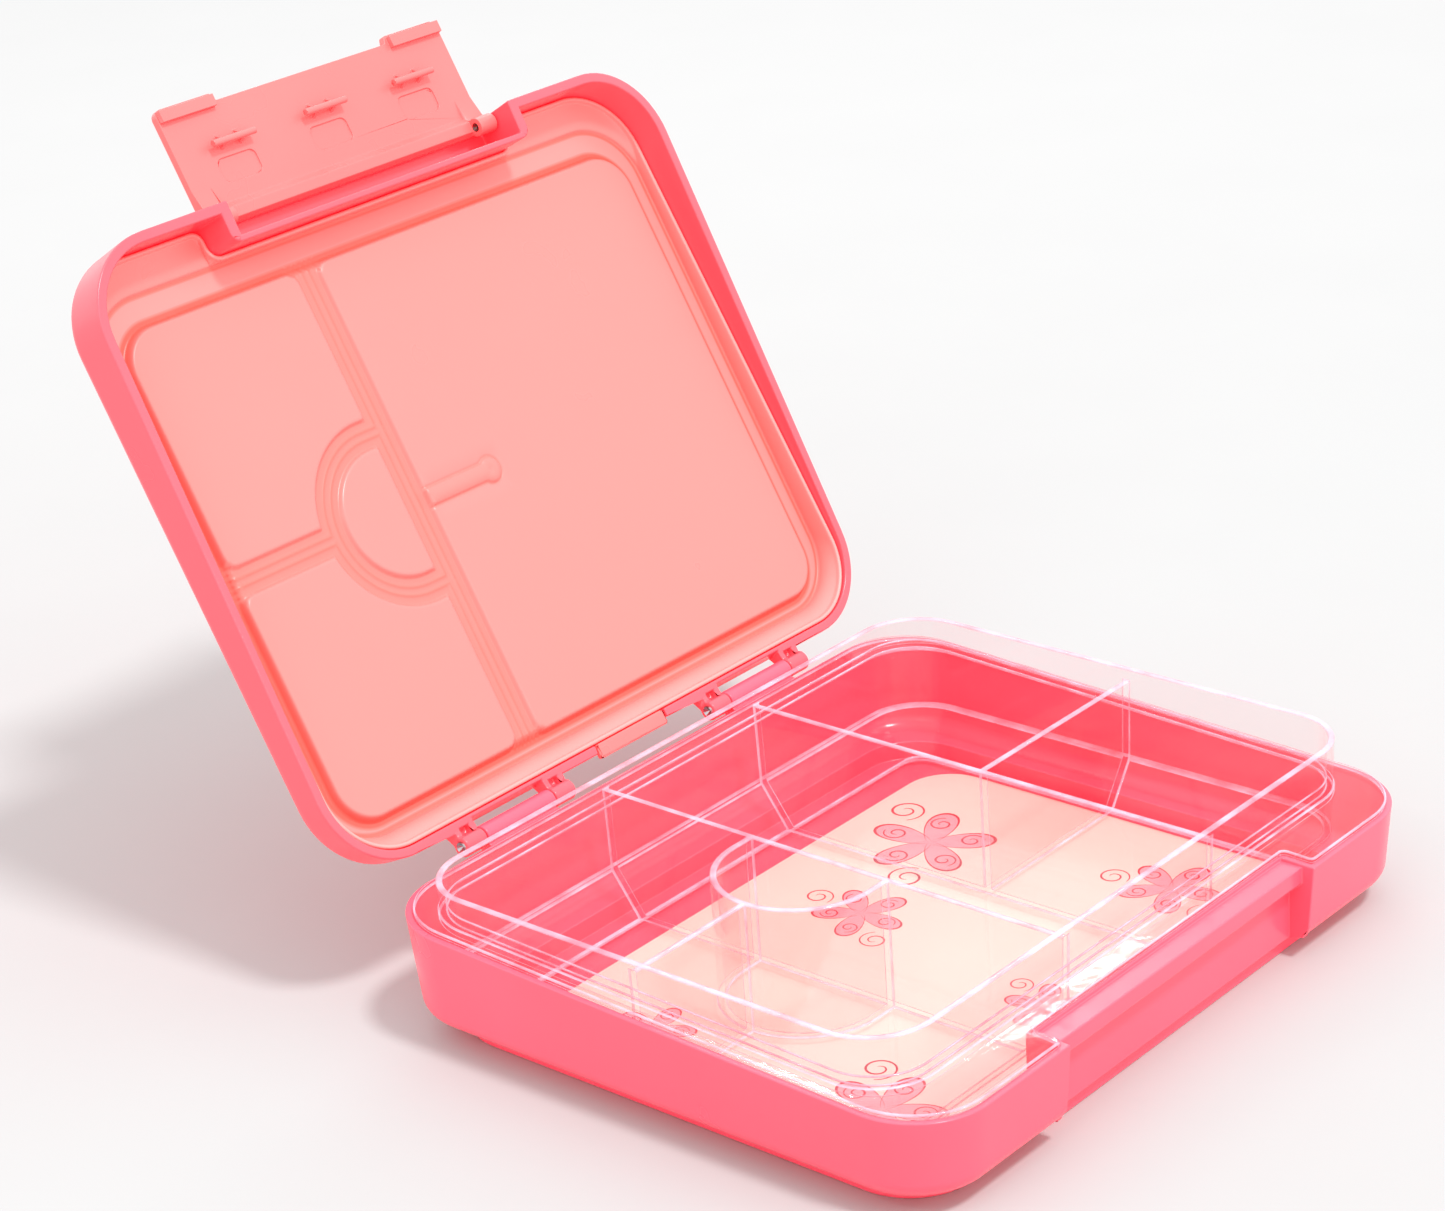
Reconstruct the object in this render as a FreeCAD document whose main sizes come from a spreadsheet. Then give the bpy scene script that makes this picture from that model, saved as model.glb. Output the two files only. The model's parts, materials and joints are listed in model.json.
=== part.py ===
import FreeCAD, Part
import Sketcher
import math
import os

# Lunch box: a tub and a lid hinged along the back, a latch flap on the lid,
# a divided tray that rests on the tub's rim, and a soft seal pressed into the lid.
# Axes: +X along the hinge, +Y to the hinge side, +Z up. Origin: centre of the foot face.
# The joint between tub and lid slopes: it is higher at the back than at the front.

doc = FreeCAD.newDocument("lunch_box")
sheet = doc.addObject("Spreadsheet::Sheet", "Dims")

# every driving dimension, in mm and degrees
dimensions = [
    ("base_width", 220.0), ("base_depth", 182.0), ("base_corner", 22.5),
    ("rim_mid", 31.6), ("rim_slope", 0.038), ("base_wall", 2.0), ("base_draft", 5.0),
    ("tub_bottom", 5.5), ("tub_edge", 6.0), ("tub_floor", 7.5), ("inner_edge", 4.5),
    ("foot_inset", 10.5), ("foot_corner", 19.0), ("foot_floor", 2.0), ("foot_wall", 1.8),
    ("recess_half", 54.5), ("recess_back", 83.0), ("recess_top", 80.5), ("recess_skin", 2.0),
    ("catch_nose", 87.0), ("catch_drop", 1.0), ("catch_low", 22.9), ("catch_root", 19.4),
    ("flange_thick", 1.5), ("flange_inset", 1.7), ("flange_corner", 21.0),
    ("tray_width", 209.6), ("tray_front", 74.3), ("tray_back", 82.0), ("tray_corner", 18.5),
    ("tray_top", 44.6), ("tray_wall", 1.8), ("tray_step", 17.0), ("tray_bottom", 3.0),
    ("tray_floor", 4.4), ("tray_inset", 11.0), ("tray_inner", 16.7),
    ("divider_top", 41.0), ("divider_thick", 1.8),
    ("divider_left", 30.0), ("divider_right", 34.0), ("divider_cross", 1.0), ("cup_mid", 6.0),
    ("cup_radius", 22.5), ("cup_centre", 37.5),
    ("card_width", 186.0), ("card_front", 74.0), ("card_back", 62.0), ("card_thick", 0.4),
    ("card_corner", 14.0),
    ("lid_gap", 1.8), ("lid_width", 218.8), ("lid_front", 87.6), ("lid_back", 90.4),
    ("lid_corner", 24.0), ("lid_top", 48.0), ("lid_ceiling", 46.1), ("lid_wall", 2.8),
    ("lid_draft", 3.0), ("lid_low", 27.0), ("lid_edge", 4.0),
    ("notch_half", 54.5), ("notch_back", 78.0), ("notch_wall", 1.8), ("notch_brow", 45.9),
    ("notch_side", 3.4), ("jog_corner", 3.2),
    ("tab_half", 14.5), ("tab_height", 39.2),
    ("hinge_y", 94.5), ("hinge_z", 37.1), ("lid_angle", 119.2),
    ("arm_near", 29.5), ("arm_far", 64.5), ("arm_width", 7.5), ("knuckle", 2.9),
    ("barrel_start", 37.4), ("barrel_length", 26.7), ("pin_radius", 1.5), ("pin_fit", 0.05),
    ("pin_over", 0.3),
    ("seal_gap", 0.3), ("seal_lip", 1.2), ("seal_low", 36.9), ("seal_tilt", 0.026), ("seal_plate", 44.9),
    ("seal_shelf", 39.6), ("panel_half", 98.0), ("panel_front", 65.5), ("panel_back", 78.0),
    ("panel_low", 42.1), ("panel_skin", 2.4), ("panel_corner", 12.0), ("groove_width", 7.0),
    ("groove_depth", 1.2), ("bar_raise", 0.4), ("bar_end", 1.0),
    ("latch_y", 84.9), ("latch_z", 39.5), ("latch_half", 53.9), ("latch_skin", 90.6),
    ("latch_thick", 2.4), ("latch_root", 41.2), ("latch_tip", 8.0), ("ear_tip", 5.7),
    ("ear_inner", 33.5), ("ear_depth", 1.8), ("ear_height", 4.0), ("gusset_inner", 47.5),
    ("gusset_low", 29.0), ("latch_pin", 1.2), ("latch_knuckle", 2.7), ("latch_angle", 90.0),
    ("bar_y", 85.4), ("bar_z", 19.6), ("bar_radius", 1.0), ("bar_length", 15.5),
    ("bar_pitch", 34.6), ("web_thick", 1.2), ("web_spread", 3.4),
]
for row, (alias, value) in enumerate(dimensions, 1):
    sheet.set("A%d" % row, alias)
    sheet.set("B%d" % row, str(value))
    sheet.setAlias("B%d" % row, alias)
doc.recompute()

ORIGIN = {"XY": "XY_Plane", "XZ": "XZ_Plane", "YZ": "YZ_Plane"}


def full(expression):
    """An expression with every sheet alias written in full."""
    text = expression
    for alias in sorted((name for name, _ in dimensions), key=len, reverse=True):
        pieces = text.split(alias)
        joined = pieces[0]
        for piece in pieces[1:]:
            before = joined[-1:] if joined else ""
            word = before.isalnum() or before in ("_", ".")
            joined += (alias if word else "Dims." + alias) + piece
        text = joined
    return text


def number(expression):
    """The value of an expression of sheet dimensions."""
    found = sheet.evalExpression(full(expression))
    return float(getattr(found, "Value", found))


def new_body(label):
    body = doc.addObject("PartDesign::Body", "Body_" + label)
    body.Label = label
    return body


def plane_of(body, name):
    for feature in body.Origin.OriginFeatures:
        if getattr(feature, "Role", "") == ORIGIN[name]:
            return feature
    raise ValueError(name)


def new_sketch(body, name, plane, height=None):
    """A sketch on one of the body's origin planes, moved along its normal by an expression."""
    sketch = body.newObject("Sketcher::SketchObject", name)
    sketch.AttachmentSupport = [(plane_of(body, plane), "")]
    sketch.MapMode = "FlatFace"
    if height:
        sketch.setExpression("AttachmentOffset.Base.z", full(height))
    return sketch


def fix(sketch, kind, first, second, expression):
    """One dimension of a sketch, bound to the sheet."""
    index = sketch.addConstraint(Sketcher.Constraint(kind, *first, *second, number(expression)))
    sketch.setExpression("Constraints[%d]" % index, full(expression))


def outline(sketch, corners):
    """A closed outline through (x, y, radius) corners; a radius of None is a sharp corner."""
    points = [FreeCAD.Vector(number(x), number(y), 0) for x, y, _ in corners]
    count = len(corners)
    geometry = []
    starts, ends, arcs = [], [], {}
    for i in range(count):
        here = points[i]
        back = (points[i - 1] - here)
        ahead = (points[(i + 1) % count] - here)
        radius = corners[i][2]
        if radius is None:
            starts.append(here)
            ends.append(here)
            continue
        back.normalize()
        ahead.normalize()
        half = math.acos(max(-1.0, min(1.0, back.dot(ahead)))) / 2
        reach = number(radius) / math.tan(half)
        first = here + back * reach
        last = here + ahead * reach
        bisector = back + ahead
        bisector.normalize()
        centre = here + bisector * (number(radius) / math.sin(half))
        starts.append(last)
        ends.append(first)
        ccw = (first - centre).cross(last - centre).z > 0
        begin, finish = (first, last) if ccw else (last, first)
        angle0 = math.atan2(begin.y - centre.y, begin.x - centre.x)
        angle1 = math.atan2(finish.y - centre.y, finish.x - centre.x)
        if angle1 < angle0:
            angle1 += 2 * math.pi
        whole = Part.Circle(centre, FreeCAD.Vector(0, 0, 1), number(radius))
        arcs[i] = (Part.ArcOfCircle(whole, angle0, angle1), ccw)
    for i in range(count):
        geometry.append(Part.LineSegment(starts[i], ends[(i + 1) % count]))
    lines = list(range(count))
    sketch.addGeometry(geometry, False)
    numbers = {}
    for i, (arc, _) in arcs.items():
        numbers[i] = sketch.addGeometry(arc, False)
    for i in range(count):
        before, after = lines[i - 1], lines[i]
        if i in arcs:
            first, last = (1, 2) if arcs[i][1] else (2, 1)
            sketch.addConstraint(Sketcher.Constraint("Tangent", before, 2, numbers[i], first))
            sketch.addConstraint(Sketcher.Constraint("Tangent", after, 1, numbers[i], last))
            index = sketch.addConstraint(
                Sketcher.Constraint("Radius", numbers[i], number(corners[i][2])))
            sketch.setExpression("Constraints[%d]" % index, full(corners[i][2]))
        else:
            sketch.addConstraint(Sketcher.Constraint("Coincident", before, 2, after, 1))
    for i in range(count):
        x0, y0 = corners[i][0], corners[i][1]
        x1, y1 = corners[(i + 1) % count][0], corners[(i + 1) % count][1]
        if y0 == y1:
            sketch.addConstraint(Sketcher.Constraint("Horizontal", lines[i]))
            fix(sketch, "DistanceY", (-1, 1), (lines[i], 1), y0)
        elif x0 == x1:
            sketch.addConstraint(Sketcher.Constraint("Vertical", lines[i]))
            fix(sketch, "DistanceX", (-1, 1), (lines[i], 1), x0)
        elif corners[i][2] is None and corners[(i + 1) % count][2] is None:
            continue
    for i in range(count):
        if corners[i][2] is not None:
            continue
        x, y = corners[i][0], corners[i][1]
        level = y in (corners[i - 1][1], corners[(i + 1) % count][1])
        upright = x in (corners[i - 1][0], corners[(i + 1) % count][0])
        if not upright:
            fix(sketch, "DistanceX", (-1, 1), (lines[i], 1), x)
        if not level:
            fix(sketch, "DistanceY", (-1, 1), (lines[i], 1), y)
    return sketch


def rounded(sketch, x0, x1, y0, y1, radius):
    return outline(sketch, [(x1, y0, radius), (x1, y1, radius), (x0, y1, radius), (x0, y0, radius)])


def box_outline(sketch, x0, x1, y0, y1):
    return outline(sketch, [(x1, y0, None), (x1, y1, None), (x0, y1, None), (x0, y0, None)])


def polygon(sketch, corners):
    return outline(sketch, [(x, y, None) for x, y in corners])


def circle(sketch, x, y, radius):
    centre = FreeCAD.Vector(number(x), number(y), 0)
    index = sketch.addGeometry(Part.Circle(centre, FreeCAD.Vector(0, 0, 1), number(radius)), False)
    fix(sketch, "DistanceX", (-1, 1), (index, 3), x)
    fix(sketch, "DistanceY", (-1, 1), (index, 3), y)
    found = sketch.addConstraint(Sketcher.Constraint("Radius", index, number(radius)))
    sketch.setExpression("Constraints[%d]" % found, full(radius))
    return sketch


def volume(body):
    doc.recompute()
    return body.Shape.Volume


def pad(body, sketch, length, taper=None, both=False, down=False):
    feature = body.newObject("PartDesign::Pad", "Pad_" + sketch.Name)
    feature.Profile = sketch
    feature.setExpression("Length", full(length))
    feature.Midplane = both
    feature.Reversed = down
    if taper:
        feature.setExpression("TaperAngle", full(taper))
    sketch.Visibility = False
    doc.recompute()
    return feature


def pocket(body, sketch, length=None, taper=None, both=False, along=False):
    """Cuts material against the sketch's normal, or along it if that way is asked or needed."""
    before = volume(body)
    feature = body.newObject("PartDesign::Pocket", "Pocket_" + sketch.Name)
    feature.Profile = sketch
    if length:
        feature.setExpression("Length", full(length))
    else:
        feature.Type = "ThroughAll"
    feature.Midplane = both
    feature.Reversed = along
    if taper:
        feature.setExpression("TaperAngle", full(taper))
    doc.recompute()
    if not both and not along and (feature.Shape.isNull() or volume(body) > before - 0.5):
        feature.Reversed = True
        doc.recompute()
    sketch.Visibility = False
    if volume(body) > before - 0.05:
        print("nothing cut by", sketch.Name)
    return feature


def edges_where(shape, test):
    return ["Edge%d" % i for i, edge in enumerate(shape.Edges, 1) if test(edge)]


def fillet(body, test, radius, name):
    base = body.Tip
    found = edges_where(base.Shape, test)
    feature = body.newObject("PartDesign::Fillet", name)
    feature.Base = (base, found)
    feature.setExpression("Radius", full(radius))
    doc.recompute()
    if not found:
        print("no edges for", name)
    return feature


def at_height(height):
    level = number(height)

    def test(edge):
        box = edge.BoundBox
        return abs(box.ZMin - level) < 1e-3 and abs(box.ZMax - level) < 1e-3
    return test


RIM = "(rim_mid + rim_slope * %s)"
MOUTH = "(rim_mid + lid_gap + rim_slope * %s)"
SHELF = "(rim_mid + flange_thick + rim_slope * %s)"


# ---------------------------------------------------------------- tub
tub = new_body("base_shell")
low_inset = "(tan(base_draft) * (rim_mid - tub_bottom))"
s = new_sketch(tub, "TubOutline", "XY", "tub_bottom")
rounded(s, "-(base_width / 2 - %s)" % low_inset, "(base_width / 2 - %s)" % low_inset,
        "-(base_depth / 2 - %s)" % low_inset, "(base_depth / 2 - %s)" % low_inset,
        "(base_corner - %s)" % low_inset)
pad(tub, s, "34", "base_draft")
s = new_sketch(tub, "TubRimPlane", "YZ")
polygon(s, [("-130", RIM % "-130"), ("130", RIM % "130"), ("130", "60"), ("-130", "60")])
pocket(tub, s, both=True)
fillet(tub, at_height("tub_bottom"), "tub_edge", "TubBottomRound")

s = new_sketch(tub, "FootOutline", "XY")
rounded(s, "-(base_width / 2 - foot_inset)", "(base_width / 2 - foot_inset)",
        "-(base_depth / 2 - foot_inset)", "(base_depth / 2 - foot_inset)", "foot_corner")
pad(tub, s, "tub_bottom + 1")
fillet(tub, at_height("0"), "0.8", "FootRound")

s = new_sketch(tub, "CavityOutline", "XY", "tub_floor")
in_inset = "(tan(base_draft) * (rim_mid - tub_floor) + base_wall)"
rounded(s, "-(base_width / 2 - %s)" % in_inset, "(base_width / 2 - %s)" % in_inset,
        "-(base_depth / 2 - %s)" % in_inset, "(base_depth / 2 - %s)" % in_inset,
        "(base_corner - %s)" % in_inset)
pocket(tub, s, "34", "base_draft", along=True)
fillet(tub, at_height("tub_floor"), "inner_edge", "CavityRound")

s = new_sketch(tub, "FootWell", "XY", "tub_floor + 0.5")
rounded(s, "-(base_width / 2 - foot_inset - foot_wall)", "(base_width / 2 - foot_inset - foot_wall)",
        "-(base_depth / 2 - foot_inset - foot_wall)",
        "(base_depth / 2 - foot_inset - foot_wall)", "(foot_corner - foot_wall)")
pocket(tub, s, "tub_floor + 0.5 - foot_floor")

# latch recess in the front wall, with the catch ridge that the latch bars hook under
s = new_sketch(tub, "RecessBlock", "YZ")
polygon(s, [("-(recess_top - recess_skin)", "(tub_floor - 1)"),
            ("-(recess_top - recess_skin)", RIM % "-(recess_top - recess_skin)"),
            ("-(base_depth / 2 - 1.2)", RIM % "-(base_depth / 2 - 1.2)"),
            ("-(base_depth / 2 - 3.6)", "(tub_floor - 1)")])
pad(tub, s, "2 * (recess_half + recess_skin)", both=True)
s = new_sketch(tub, "RecessProfile", "YZ")
polygon(s, [("-120", "50"), ("-recess_top", "50"),
            ("-recess_top", "(%s - catch_drop)" % (RIM % "-recess_top")),
            ("-catch_nose", "(%s - catch_drop)" % (RIM % "-recess_top")),
            ("-catch_nose", "catch_low"), ("-recess_back", "catch_root"),
            ("-recess_back", "-5"), ("-120", "-5")])
pocket(tub, s, "2 * recess_half", both=True)

# hinge barrels behind the back wall, each on a web
for side, sign in (("left", "-"), ("right", "")):
    middle = "%s(barrel_start + barrel_length / 2)" % sign
    s = new_sketch(tub, "Web_" + side, "YZ", middle)
    polygon(s, [("(base_depth / 2 - 1)", "(hinge_z - 3.4)"),
                ("(base_depth / 2 - 1.6)", "(hinge_z - 12)"),
                ("(hinge_y + knuckle * 0.7)", "(hinge_z - knuckle * 0.7)"),
                ("hinge_y", "(hinge_z - 0.6)"), ("(hinge_y - knuckle * 0.8)", "(hinge_z - 1)")])
    pad(tub, s, "barrel_length", both=True)
    s = new_sketch(tub, "Barrel_" + side, "YZ", middle)
    circle(s, "hinge_y", "hinge_z", "knuckle")
    pad(tub, s, "barrel_length", both=True)
s = new_sketch(tub, "BarrelBore", "YZ")
circle(s, "hinge_y", "hinge_z", "pin_radius")
pocket(tub, s, both=True)

# ---------------------------------------------------------------- printed card
card = new_body("card_liner")
s = new_sketch(card, "CardOutline", "XY", "foot_floor")
rounded(s, "-card_width / 2", "card_width / 2", "-card_front", "card_back", "card_corner")
pad(card, s, "card_thick")

# ---------------------------------------------------------------- tray
tray = new_body("tray")
s = new_sketch(tray, "FlangeOutline", "XY", "20")
jog = "-recess_top + 0.4"
fx = "(base_width / 2 - flange_inset)"
fy = "(base_depth / 2 - flange_inset)"
jx = "(recess_half + 1.6)"
outline(s, [(fx, "-" + fy, "flange_corner"), (fx, fy, "flange_corner"),
            ("-" + fx, fy, "flange_corner"), ("-" + fx, "-" + fy, "flange_corner"),
            ("-" + jx, "-" + fy, "1.5"), ("-" + jx, jog, "1.5"), (jx, jog, "1.5"),
            (jx, "-" + fy, "1.5")])
pad(tray, s, "30")
s = new_sketch(tray, "FlangeTop", "YZ")
polygon(s, [("-130", SHELF % "-130"), ("130", SHELF % "130"), ("130", "80"), ("-130", "80")])
pocket(tray, s, both=True)
s = new_sketch(tray, "FlangeUnder", "YZ")
polygon(s, [("-130", RIM % "-130"), ("130", RIM % "130"), ("130", "2"), ("-130", "2")])
pocket(tray, s, both=True)

s = new_sketch(tray, "TrayUpper", "XY", "tray_step")
rounded(s, "-(tray_width / 2 - 1)", "(tray_width / 2 - 1)", "-(tray_front - 1)",
        "(tray_back - 1)", "(tray_corner - 1)")
pad(tray, s, "tray_top - tray_step", "atan(1 / (tray_top - tray_step))")
if tray.Shape.BoundBox.ZMax < number("tray_top") - 0.1:
    print("tray upper part is short")
s = new_sketch(tray, "TrayLower", "XY", "tray_step")
rounded(s, "-(tray_width / 2 - 1)", "(tray_width / 2 - 1)", "-(tray_front - 1)",
        "(tray_back - 1)", "(tray_corner - 1)")
pad(tray, s, "tray_step - tray_bottom",
    "-atan((tray_inset - 1) / (tray_step - tray_bottom))", down=True)

s = new_sketch(tray, "TrayHollow", "XY", "tray_step")
rounded(s, "-(tray_width / 2 - 1 - tray_wall)", "(tray_width / 2 - 1 - tray_wall)",
        "-(tray_front - 1 - tray_wall)", "(tray_back - 1 - tray_wall)",
        "(tray_corner - 1 - tray_wall)")
pocket(tray, s, "tray_top - tray_step + 5", "atan(1 / (tray_top - tray_step))", along=True)
s = new_sketch(tray, "TrayHollowLow", "XY", "tray_step")
rounded(s, "-(tray_width / 2 - 1 - tray_wall)", "(tray_width / 2 - 1 - tray_wall)",
        "-(tray_front - 1 - tray_wall)", "(tray_back - 1 - tray_wall)",
        "(tray_corner - 1 - tray_wall)")
pocket(tray, s, "tray_step - tray_floor",
       "-atan((tray_inset - 1) / (tray_step - tray_bottom))")

# dividers stand on the floor and follow the stepped walls
wall_in = "(tray_wall * 0.5)"
run = "((tray_inset - 1) * (tray_step - tray_floor) / (tray_step - tray_bottom))"


def divider_profile(low_side, high_side):
    return [("-(%s - 1 - %s)" % (low_side, wall_in), "tray_step"),
            ("-(%s - 1 - %s - %s)" % (low_side, wall_in, run), "(tray_floor - 0.4)"),
            ("(%s - 1 - %s - %s)" % (high_side, wall_in, run), "(tray_floor - 0.4)"),
            ("(%s - 1 - %s)" % (high_side, wall_in), "tray_step"),
            ("(%s - 0.2 - %s)" % (high_side, wall_in), "divider_top"),
            ("-(%s - 0.2 - %s)" % (low_side, wall_in), "divider_top")]


for name, place in (("DividerLeft", "-divider_left"), ("DividerRight", "divider_right")):
    s = new_sketch(tray, name, "YZ", place)
    polygon(s, divider_profile("tray_front", "tray_back"))
    pad(tray, s, "divider_thick", both=True)
side_profile = divider_profile("(tray_width / 2)", "(tray_width / 2)")
s = new_sketch(tray, "DividerCross", "XZ", "-divider_cross")
polygon(s, [("divider_right", "(tray_floor - 0.4)")] + side_profile[2:5]
        + [("divider_right", "divider_top")])
pad(tray, s, "divider_thick", both=True)
s = new_sketch(tray, "DividerSide", "XZ", "-cup_mid")
polygon(s, [side_profile[0], side_profile[1], ("-(cup_centre + cup_radius)", "(tray_floor - 0.4)"),
            ("-(cup_centre + cup_radius)", "divider_top"), side_profile[5]])
pad(tray, s, "divider_thick", both=True)


def cup_sketch(sketch, width, inner_end):
    """A U-shaped wall open to +X: two straight legs and a half circle."""
    cx, cy, radius = -number("cup_centre"), number("cup_mid"), number("cup_radius")
    half = number(width) / 2
    end = number(inner_end)
    top = FreeCAD.Vector(0, 0, 1)
    quarter, whole = math.pi / 2, 3 * math.pi / 2
    outer_r, inner_r = radius + half, radius - half
    centre = FreeCAD.Vector(cx, cy, 0)

    def at(x, y):
        return FreeCAD.Vector(x, y, 0)
    outer = sketch.addGeometry(Part.ArcOfCircle(Part.Circle(centre, top, outer_r), quarter, whole))
    inner = sketch.addGeometry(Part.ArcOfCircle(Part.Circle(centre, top, inner_r), quarter, whole))
    lines = [
        sketch.addGeometry(Part.LineSegment(at(end, cy + outer_r), at(cx, cy + outer_r))),
        sketch.addGeometry(Part.LineSegment(at(cx, cy + inner_r), at(end, cy + inner_r))),
        sketch.addGeometry(Part.LineSegment(at(end, cy + inner_r), at(end, cy + outer_r))),
        sketch.addGeometry(Part.LineSegment(at(cx, cy - outer_r), at(end, cy - outer_r))),
        sketch.addGeometry(Part.LineSegment(at(end, cy - outer_r), at(end, cy - inner_r))),
        sketch.addGeometry(Part.LineSegment(at(end, cy - inner_r), at(cx, cy - inner_r))),
    ]
    joins = [(lines[0], 2, outer, 1), (outer, 2, lines[3], 1), (lines[3], 2, lines[4], 1),
             (lines[4], 2, lines[5], 1), (lines[5], 2, inner, 2), (inner, 1, lines[1], 1),
             (lines[1], 2, lines[2], 1), (lines[2], 2, lines[0], 1)]
    for a, b, c, d in joins:
        sketch.addConstraint(Sketcher.Constraint("Coincident", a, b, c, d))
    sketch.addConstraint(Sketcher.Constraint("Coincident", outer, 3, inner, 3))
    for index in (lines[0], lines[1], lines[3], lines[5]):
        sketch.addConstraint(Sketcher.Constraint("Horizontal", index))
    for index in (lines[2], lines[4]):
        sketch.addConstraint(Sketcher.Constraint("Vertical", index))
    fix(sketch, "DistanceX", (-1, 1), (outer, 3), "-cup_centre")
    fix(sketch, "DistanceY", (-1, 1), (outer, 3), "cup_mid")
    fix(sketch, "DistanceX", (-1, 1), (lines[0], 1), inner_end)
    fix(sketch, "DistanceX", (-1, 1), (lines[4], 1), inner_end)
    for index, expression in ((outer, "(cup_radius + %s / 2)" % width),
                              (inner, "(cup_radius - %s / 2)" % width)):
        found = sketch.addConstraint(Sketcher.Constraint("Radius", index, number(expression)))
        sketch.setExpression("Constraints[%d]" % found, full(expression))
    return [outer, inner] + lines


s = new_sketch(tray, "CupWall", "XY", "tray_floor - 0.4")
cup_sketch(s, "divider_thick", "-divider_left")
pad(tray, s, "divider_top - tray_floor + 0.4")

# ---------------------------------------------------------------- lid shell
lid = new_body("lid_shell")
out = "(tan(lid_draft) * (rim_mid + lid_gap - lid_low))"
s = new_sketch(lid, "LidOutline", "XY", "lid_low")
rounded(s, "-(lid_width / 2 + %s)" % out, "(lid_width / 2 + %s)" % out, "-(lid_front + %s)" % out,
        "(lid_back + %s)" % out, "(lid_corner + %s)" % out)
pad(lid, s, "lid_top - lid_low", "-lid_draft")
fillet(lid, at_height("lid_top"), "lid_edge", "LidTopRound")
s = new_sketch(lid, "LidMouth", "YZ")
polygon(s, [("-130", MOUTH % "-130"), ("130", MOUTH % "130"), ("130", "10"), ("-130", "10")])
pocket(lid, s, both=True)
s = new_sketch(lid, "LidHollow", "XY", "lid_low")
rounded(s, "-(lid_width / 2 - lid_wall)", "(lid_width / 2 - lid_wall)", "-(lid_front - lid_wall)",
        "(lid_back - lid_wall)", "(lid_corner - lid_wall)")
pocket(lid, s, "lid_ceiling - lid_low")

# notch for the latch, closed towards the inside by its own wall and above by a brow
s = new_sketch(lid, "NotchWall", "YZ")
polygon(s, [("-(notch_back - notch_wall)", MOUTH % "-(notch_back - notch_wall)"),
            ("-(lid_front - 1)", MOUTH % "-(lid_front - 1)"), ("-(lid_front - 1)", "(lid_ceiling + 0.3)"),
            ("-(notch_back - notch_wall)", "(lid_ceiling + 0.3)")])
pad(lid, s, "2 * (notch_half + notch_side)", both=True)
jog_x = number("notch_half + notch_side")
jog_y = -number("notch_back - notch_wall")


def jog_edge(edge):
    box = edge.BoundBox
    upright = box.XLength < 0.01 and box.YLength < 0.01
    return upright and abs(abs(box.XMin) - jog_x) < 0.01 and abs(box.YMin - jog_y) < 0.01


fillet(lid, jog_edge, "jog_corner", "NotchWallRound")
s = new_sketch(lid, "Notch", "YZ")
box_outline(s, "-120", "-notch_back", "10", "notch_brow")
pocket(lid, s, "2 * notch_half", both=True)
s = new_sketch(lid, "LatchPinBore", "YZ")
circle(s, "-latch_y", "latch_z", "latch_pin")
pocket(lid, s, "2 * (notch_half + 2.6)", both=True)
s = new_sketch(lid, "TabSlot", "YZ")
box_outline(s, "(lid_back - lid_wall - 1)", "(lid_back + 3)", "20", "tab_height")
pocket(lid, s, "2 * tab_half", both=True)

# hinge arms on the back wall, with knuckles round the pins
for side, sign in (("left", "-"), ("right", "")):
    s = new_sketch(lid, "BackRelief_" + side, "YZ", "%s(barrel_start + barrel_length / 2)" % sign)
    polygon(s, [("(lid_back - 1.6)", "30"), ("(lid_back + 4)", "30"), ("(lid_back + 4)", "40.6"),
                ("(lid_back - 0.2)", "40.6"), ("(lid_back - 1.6)", "(%s + 0.6)" % (MOUTH % "lid_back"))])
    pocket(lid, s, "(arm_far - arm_near - arm_width)", both=True)
    for place in ("arm_near", "arm_far"):
        middle = "%s(%s + arm_width / 2)" % (sign, place)
        s = new_sketch(lid, "Arm_%s_%s" % (side, place), "YZ", middle)
        polygon(s, [("(lid_back - 1.8)", "(%s + 0.3)" % (MOUTH % "lid_back")),
                    ("(hinge_y - 1)", "(hinge_z - 1)"), ("(hinge_y + 1)", "(hinge_z + knuckle * 0.93)"),
                    ("(hinge_y - 1)", "(hinge_z + knuckle)"), ("(lid_back - 1.8)", "(hinge_z + 6)")])
        pad(lid, s, "arm_width", both=True)
        s = new_sketch(lid, "Knuckle_%s_%s" % (side, place), "YZ", middle)
        circle(s, "hinge_y", "hinge_z", "knuckle")
        pad(lid, s, "arm_width", both=True)
        s = new_sketch(lid, "Relief_%s_%s" % (side, place), "XY", "hinge_z - 3")
        box_outline(s, "%s(%s) - 1.7" % (sign, "%s + arm_width / 2" % place),
                    "%s(%s) + 1.7" % (sign, "%s + arm_width / 2" % place),
                    "(lid_back - 0.6)", "(hinge_y - knuckle + 0.4)")
        pocket(lid, s, "5")
s = new_sketch(lid, "HingeBore", "YZ")
circle(s, "hinge_y", "hinge_z", "(pin_radius + pin_fit)")
pocket(lid, s, both=True)

# ---------------------------------------------------------------- seal
seal = new_body("lid_seal")
sx = "(lid_width / 2 - lid_wall - seal_gap)"
sf = "(lid_front - lid_wall - seal_gap)"
sb = "(lid_back - lid_wall - seal_gap)"
sn = "(notch_back - notch_wall - seal_gap)"
sj = "(notch_half + notch_side + seal_gap)"
sr = "(lid_corner - lid_wall - seal_gap)"
SKIRT = "(seal_low + seal_tilt * (lid_back - (%s)))"
s = new_sketch(seal, "SealOutline", "XY", "seal_low")
outline(s, [(sx, "-" + sf, sr), (sx, sb, sr), ("-" + sx, sb, sr), ("-" + sx, "-" + sf, sr),
            ("-" + sj, "-" + sf, "3.5"), ("-" + sj, "-" + sn, "(jog_corner + seal_gap)"),
            (sj, "-" + sn, "(jog_corner + seal_gap)"), (sj, "-" + sf, "3.5")])
pad(seal, s, "lid_ceiling - seal_low")
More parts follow.
